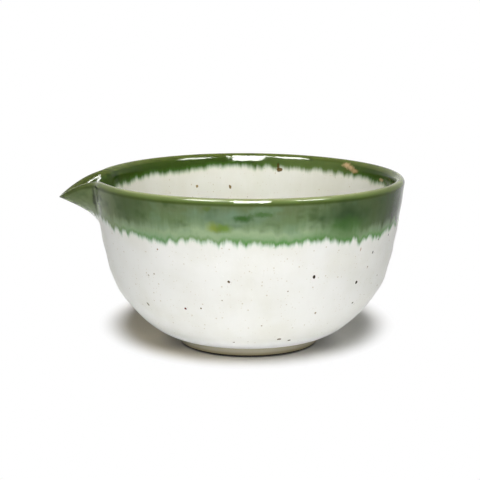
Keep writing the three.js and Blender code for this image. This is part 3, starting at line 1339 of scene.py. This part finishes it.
    def lip(self, at: GlazeField) -> Wire:
        """Colours the lip, pale where the glaze is thin over the crest and paler still as a painted
        highlight.

        Args:
            at: Where the glaze lies.

        Returns:
            The colour.
        """
        graph = at.graph
        outer = graph.ramp(at.down, self.outer_lip)
        colour = graph.mix(at.inside, outer, graph.ramp(at.down, self.inner_lip))
        # Painted shade on the lip towards the ends along X.
        ends = (at.rightwards * at.rightwards).above(0.35, 0.85)
        colour = graph.tone(colour, ends, self.lip_ends_painted_shade)
        return graph.tone(colour, at.rightwards.above(-0.93, -0.99), self.lip_of_spout)


@dataclass(frozen=True)
class TwoGlazes:
    """White speckled glaze with the green that runs into it, one finish for all coats."""

    axis_x: float
    white: WhiteGlaze = WhiteGlaze()
    green: GreenGlaze = GreenGlaze()
    edge: DripEdge = DripEdge()
    wisps_outside: float = 2.2
    wisps_inside: float = 1.0
    edge_fade: tuple[float, float] = (-1.9, 1.4)
    skin_depth: float = 0.1
    white_ior: float = 1.1
    green_ior: float = 1.18
    pinholes: Freckles = Freckles(0.55, 0.14, 0.55)
    iron_softness: float = 0.25
    iron_spots: tuple[Spot, ...] = (
        Spot((24.0, -52.2, 37.5), (0.62, 0.62, 0.95), "2e251a"),
        Spot((40.7, -38.6, 32.5), (0.66, 0.66, 0.8), "353124"),
        Spot((47.3, -34.7, 43.3), (0.5, 0.5, 0.7), "2c2b25"),
        Spot((39.6, -34.7, 23.6), (0.45, 0.45, 0.6), "4b4638"),
        Spot((24.9, -45.4, 22.2), (0.5, 0.5, 0.5), "8b7a55", 0.8),
        Spot((11.4, -40.6, 10.8), (0.9, 0.9, 0.5), "5b4a30"),
        Spot((15.3, -37.9, 9.7), (0.7, 0.7, 0.45), "4a3f2e"),
        Spot((53.8, -25.7, 48.4), (0.4, 0.4, 0.5), "4d4a3e"),
        Spot((49.2, -33.5, 48.1), (0.35, 0.35, 0.45), "6a6553"),
        Spot((42.0, -41.6, 45.4), (0.4, 0.4, 1.4), "a8815a", 0.8),
        Spot((-34.3, -48.5, 47.2), (0.45, 0.45, 0.45), "8f6b4c", 0.9),
        Spot((-7.7, -56.7, 36.7), (0.55, 0.55, 0.55), "5f5037"),
        Spot((-23.9, -47.4, 24.4), (0.5, 0.5, 0.55), "6f3f33"),
        Spot((-18.1, -50.4, 25.1), (0.45, 0.45, 0.45), "6a5340"),
        Spot((-38.0, -42.6, 36.1), (0.5, 0.5, 0.5), "a39a82", 0.6),
        Spot((-38.6, -35.6, 23.3), (0.9, 0.5, 0.9), "6b6046", 0.8),
        Spot((-5.8, -40.2, 9.5), (0.5, 0.5, 0.4), "6e6244", 0.8),
        Spot((-22.1, 51.3, 55.0), (0.6, 0.6, 0.7), "8f7b4c"),
        Spot((-7.8, 55.2, 54.1), (0.6, 0.6, 0.9), "7c6a40"),
        Spot((13.7, 55.2, 61.6), (1.4, 2.4, 1.0), "5e4500", 0.95),
        Spot((13.1, 55.3, 63.0), (0.6, 2.4, 1.5), "4a3a10", 0.9),
    )

    def material(self) -> bpy.types.Material:
        """Makes the finish.

        Returns:
            The material.
        """
        graph = Graph("two_glazes")
        at = GlazeField(graph, self.axis_x)
        above_edge = self.edge.reach(at) - at.down
        wisp_width = self.wisps_outside - at.inside * (self.wisps_outside - self.wisps_inside)
        wisps = (at.flow[Flow.WISPS] - 0.5) * wisp_width
        cover = (above_edge + wisps).above(*self.edge_fade)
        colour = graph.mix(cover, self.white.colour(at), self.green.colour(at, above_edge))
        for spot in self.iron_spots:
            colour = spot.over(at, colour, self.iron_softness)
        normal = graph.bump(self.surface(at, cover), self.skin_depth)
        patchy = graph.noise(at.place, 0.35)
        white_skin = graph.skin(colour, patchy * 0.16 + 0.3, normal, self.white_ior)
        green_skin = graph.skin(colour, patchy * 0.06 + 0.04, normal, self.green_ior)
        return graph.finish(graph.blend(cover, white_skin, green_skin))

    def surface(self, at: GlazeField, cover: Wire) -> Wire:
        """Shapes the glaze's skin: ripples, pinholes and the thickness of the runs.

        Args:
            at: Where the glaze lies.
            cover: 1 under the green glaze, 0 elsewhere.

        Returns:
            Height for the bump.
        """
        graph = at.graph
        ripple = graph.noise(at.place, 0.28, 2.0) * 0.9 + graph.noise(at.place, 1.1, 1.0) * 0.12
        runs = cover * 0.5 + at.flow[Flow.FINGERS] * cover * 0.3
        return ripple - self.pinholes.mask(at) * 0.5 + runs


@dataclass(frozen=True)
class TurnedClay:
    """Bare stoneware, turning lines and grog; dark clay and painted shade at the foot's lower outer edge.
    """

    axis_x: float
    clay: str = "9c9582"
    shade: Tone = Tone("7d755f")
    grog: Tone = Tone("5f563f", 0.6)
    pale_grog: Tone = Tone("b9b29f", 0.4)
    # Bare dark clay at the foot's lower outer edge, darkened further as painted contact shade.
    dark_edge_and_painted_shade: Tone = Tone("1d1406")
    dark_edge_from: tuple[float, float] = (24.6, 25.6)
    dark_edge_under: tuple[float, float] = (1.0, 0.6)
    line_lumps: Triple = (0.12, 0.12, 3.2)
    skin_depth: float = 0.12
    ior: float = 1.45

    def material(self) -> bpy.types.Material:
        """Makes the finish.

        Returns:
            The material.
        """
        graph = Graph("turned_clay")
        place = graph.millimetres(self.axis_x)
        patches = graph.noise(place, 0.16, 4.0).above(0.3, 0.7)
        grains = graph.noise(place, 2.2, 2.0).above(0.6, 0.72)
        pale_grains = graph.noise(place, 1.4, 2.0).above(0.58, 0.7)
        out = graph.length(graph.level(place))
        edge = out.above(*self.dark_edge_from) * graph.along(place, UP).above(*self.dark_edge_under)
        colour = graph.tone(paint(self.clay), patches, self.shade)
        colour = graph.tone(colour, grains, self.grog)
        colour = graph.tone(colour, pale_grains, self.pale_grog)
        # Dark clay edge and painted contact shade where the foot meets the table.
        colour = graph.tone(colour, edge, self.dark_edge_and_painted_shade)
        lines = graph.noise(graph.vector("MULTIPLY", place, self.line_lumps), 1.0, 3.0)
        height = lines * 0.8 + grains * 0.5 + graph.noise(place, 1.1, 3.0)
        normal = graph.bump(height, self.skin_depth)
        return graph.finish(graph.skin(colour, patches * 0.1 + 0.78, normal, self.ior))


def dress(piece: bpy.types.Object, material: bpy.types.Material) -> None:
    """Gives a piece one material."""
    piece.data.materials.clear()
    piece.data.materials.append(material)


class Job(Enum):
    """What a lamp is for: even light, or a highlight in the glaze."""

    LIGHT = "light"
    SHINE = "shine"


@dataclass(frozen=True)
class Softbox:
    """A rectangular lamp that looks at the bowl.

    Attributes:
        name: Its name.
        job: What it is for.
        azimuth: Degrees from the camera's side towards +X.
        elevation: Degrees above the table.
        distance: Metres from the bowl.
        size: Width and height in metres.
        power: Watts.
    """

    name: str
    job: Job
    azimuth: float
    elevation: float
    distance: float
    size: tuple[float, float]
    power: float


@dataclass
class Studio:
    """White floor and world, soft lamps and the camera at the photograph's angle.

    Lengths are in millimetres, and places and ranges on the floor are counted from the bowl's
    axis. A range runs from where its effect is nothing to where it is full.
    """

    axis_x: float
    focus_height: float = 41.35
    axis_offset: float = 3.484
    camera_distance: float = 639.1
    elevation: float = 11.035
    focal_length: float = 119.27
    sensor_width: float = 36.0
    room_light: float = 0.06
    floor_width: float = 6000.0
    floor_glow: float = 0.03
    floor_paper: str = "f4f2ea"
    # Painted warm light in the shadow, towards the spout.
    painted_warm_shadow: Tone = Tone("f4e8cc")
    floor_bounce: str = "f0f0f0"
    painted_warm_range: tuple[float, float] = (25.0, -45.0)
    shade_near_foot: Tone = Tone("000000", 0.55)
    shade_range: tuple[float, float] = (40.0, 26.0)
    shade_behind: tuple[float, float] = (-24.0, -6.0)
    # Painted contact shadow: a dark ring on the floor round the foot.
    painted_contact_shadow: Tone = Tone("000000", 0.8)
    painted_contact_shadow_range: tuple[float, float] = (28.0, 26.4)
    shadow_middle: Triple = (-0.5, 33.0, 0.0)
    shadow_range: tuple[float, float] = (47.5, 63.5)
    shadow_squeeze: float = 0.8
    softboxes: tuple[Softbox, ...] = (
        Softbox("front_light", Job.LIGHT, 0.0, 8.0, 1.2, (0.8, 0.3), 6.6),
        Softbox("overhead_light", Job.LIGHT, 6.0, 68.0, 1.2, (0.38, 0.38), 12.8),
        Softbox("window", Job.SHINE, 1.8, 49.0, 1.1, (0.42, 1.1), 225.0),
        Softbox("right_strip", Job.SHINE, 57.0, 50.0, 1.1, (0.4, 0.3), 42.0),
        Softbox("left_strip", Job.SHINE, -51.0, 60.0, 1.1, (0.4, 0.36), 62.0),
    )

    def build(self) -> None:
        """Makes the floor, the world, the lamps and the camera."""
        self.floor()
        self.world()
        for softbox in self.softboxes:
            self.hang(softbox)
        self.camera()

    def seen(self, graph: Graph) -> Wire:
        """Gives 1 where the camera, a reflection or a refraction looks, 0 for scattered light.

        Args:
            graph: Graph of the floor's material or of the world.

        Returns:
            The mask.
        """
        straight = graph.node("ShaderNodeLightPath", {}, (), "Is Camera Ray")
        mirrored = straight.math("MAXIMUM", straight.beside("Is Glossy Ray"))
        return mirrored.math("MAXIMUM", straight.beside("Is Transmission Ray"))

    def floor(self) -> None:
        """Lays a white floor that keeps the bowl's shadow."""
        deselect_everything()
        bpy.ops.mesh.primitive_plane_add(size=self.floor_width * MM, location=(0.0, 0.0, 0.0))
        floor = bpy.context.object
        floor.name = "floor"
        dress(floor, self.floor_material())

    def floor_material(self) -> bpy.types.Material:
        """Makes the floor's finish: lit paper under the shadow, plain white further out.

        Returns:
            The material.
        """
        graph = Graph("white_floor")
        place = graph.millimetres(self.axis_x)
        paper = graph.node("ShaderNodeBsdfDiffuse", {}, {"Color": self.paper_colour(graph, place)})
        glow = graph.node("ShaderNodeEmission", {}, {"Color": WHITE, "Strength": self.floor_glow})
        lit = graph.node("ShaderNodeAddShader", {}, (paper, glow))
        white = graph.node("ShaderNodeEmission", {}, {"Color": WHITE, "Strength": 1.0})
        offset = graph.vector("SUBTRACT", place, self.shadow_middle)
        away = graph.length(graph.level(offset, self.shadow_squeeze)).above(*self.shadow_range)
        bounce = graph.node("ShaderNodeBsdfDiffuse", {}, {"Color": paint(self.floor_bounce)})
        return graph.finish(graph.blend(self.seen(graph), bounce, graph.blend(away, lit, white)))

    def paper_colour(self, graph: Graph, place: Wire) -> Wire:
        """Colours the paper with painted light and shadow: warmer towards the spout, darker close to the
        foot.

        Args:
            graph: The floor's graph.
            place: Coordinates in millimetres from the bowl's axis.

        Returns:
            The colour.
        """
        # Painted warmth of the light in the shadow, towards the spout.
        painted_warmth = graph.along(place, RIGHT).above(*self.painted_warm_range)
        out = graph.length(graph.level(place))
        behind = graph.along(place, BACK).above(*self.shade_behind)
        colour = graph.tone(paint(self.floor_paper), painted_warmth, self.painted_warm_shadow)
        colour = graph.tone(colour, out.above(*self.shade_range) * behind, self.shade_near_foot)
        # Painted contact shadow in a thin ring at the foot.
        return graph.tone(colour, out.above(*self.painted_contact_shadow_range), self.painted_contact_shadow)

    def world(self) -> None:
        """Shows white behind the bowl and lights it softly from all round."""
        world = bpy.data.worlds.new("white_studio")
        bpy.context.scene.world = world
        world.use_nodes = True
        graph = Graph("white_studio", world.node_tree)
        room = graph.node("ShaderNodeBackground", {}, {"Color": WHITE, "Strength": self.room_light})
        backdrop = graph.node("ShaderNodeBackground", {}, {"Color": WHITE, "Strength": 1.0})
        shader = graph.blend(self.seen(graph), room, backdrop)
        graph.node("ShaderNodeOutputWorld", {}, {"Surface": shader})

    def hang(self, softbox: Softbox) -> None:
        """Hangs one lamp, looking at the middle of the bowl.

        Args:
            softbox: The lamp.
        """
        data = bpy.data.lights.new(softbox.name, "AREA")
        data.shape = "RECTANGLE"
        data.size, data.size_y = softbox.size
        data.energy = softbox.power
        lamp = bpy.data.objects.new(softbox.name, data)
        lamp.visible_glossy = softbox.job is Job.SHINE
        lamp.visible_diffuse = softbox.job is Job.LIGHT
        bpy.context.scene.collection.objects.link(lamp)
        turn = math.radians(softbox.azimuth)
        rise = math.radians(softbox.elevation)
        away = Vector((math.sin(turn) * math.cos(rise), -math.cos(turn) * math.cos(rise), math.sin(rise)))
        middle = Vector((self.axis_x * MM, 0.0, self.focus_height * MM))
        lamp.location = middle + away * softbox.distance
        lamp.rotation_euler = (-away).to_track_quat("-Z", "Y").to_euler()

    def camera(self) -> None:
        """Sets the camera at the photograph's angle."""
        data = bpy.data.cameras.new("camera")
        data.lens = self.focal_length
        data.sensor_width = self.sensor_width
        camera = bpy.data.objects.new("camera", data)
        bpy.context.scene.collection.objects.link(camera)
        angle = math.radians(self.elevation)
        x = (self.axis_x - self.axis_offset) * MM
        y = -self.camera_distance * math.cos(angle) * MM
        z = (self.focus_height + self.camera_distance * math.sin(angle)) * MM
        camera.location = (x, y, z)
        camera.rotation_euler = (math.radians(90.0) - angle, 0.0, 0.0)
        bpy.context.scene.camera = camera


def form_from_frame() -> BowlForm:
    """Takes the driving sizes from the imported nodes.

    Returns:
        The form that the coats share.
    """
    _, band_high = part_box("green_glaze_band")
    clay_low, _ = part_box("thrown_bowl")
    foot_low, foot_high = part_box("foot_glaze")
    axis_x = (foot_low[0] + foot_high[0]) / 2.0 / MM
    inside_the_solids = 0.05
    return BowlForm(
        axis_x=axis_x,
        rim_radius=band_high[0] / MM - axis_x - inside_the_solids,
        height=band_high[2] / MM - inside_the_solids,
        foot_radius=(foot_high[0] - foot_low[0]) / 2.0 / MM,
        underside=clay_low[2] / MM,
    )


def foot_part(form: BowlForm, node: str, slot: str, width: float, edge: float) -> FootPart:
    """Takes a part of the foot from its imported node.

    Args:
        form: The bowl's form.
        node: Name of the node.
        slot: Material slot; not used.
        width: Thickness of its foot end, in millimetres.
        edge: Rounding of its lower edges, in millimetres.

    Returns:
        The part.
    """
    low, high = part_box(node)
    outer = (high[0] - low[0]) / 2.0 / MM - FootPart.taper
    return FootPart(
        axis_x=form.axis_x,
        node=node,
        slot=slot,
        outer_radius=outer,
        inner_radius=outer - width,
        low=low[2] / MM,
        high=high[2] / MM,
        edge=edge,
    )


def main() -> None:
    """Builds the bowl's pieces, their finishes and the studio."""
    logging.basicConfig(level=logging.INFO, format="%(name)s: %(message)s")
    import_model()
    bpy.context.scene.view_settings.view_transform = "Standard"
    form = form_from_frame()
    glazes = TwoGlazes(form.axis_x).material()
    clay = TurnedClay(form.axis_x).material()
    first = form.section[0].run
    last = form.section[-1].run
    green_from = 16.3
    green_to = -7.0
    for name, node, slot, face, from_run, to_run in (
        ("white_coat_outside", "white_glaze_outside", "white_glaze", Face.OUTSIDE, first, green_from),
        ("green_coat", "green_glaze_band", "green_glaze", Face.OVER_RIM, green_from, green_to),
        ("white_coat_inside", "white_glaze_inside", "white_glaze", Face.INSIDE, green_to, last),
    ):
        coat = GlazeCoat(form, name, node=node, slot=slot, face=face, from_run=from_run, to_run=to_run)
        dress(coat.build(), glazes)
    dress(ClayBody(form, "clay_body").build(), clay)
    dress(foot_part(form, "foot_ring", "stoneware", width=4.8, edge=0.7).build(), clay)
    dress(foot_part(form, "foot_glaze", "white_glaze", width=0.5, edge=0.15).build(), glazes)
    Studio(form.axis_x).build()


if __name__ == "__main__":
    main()
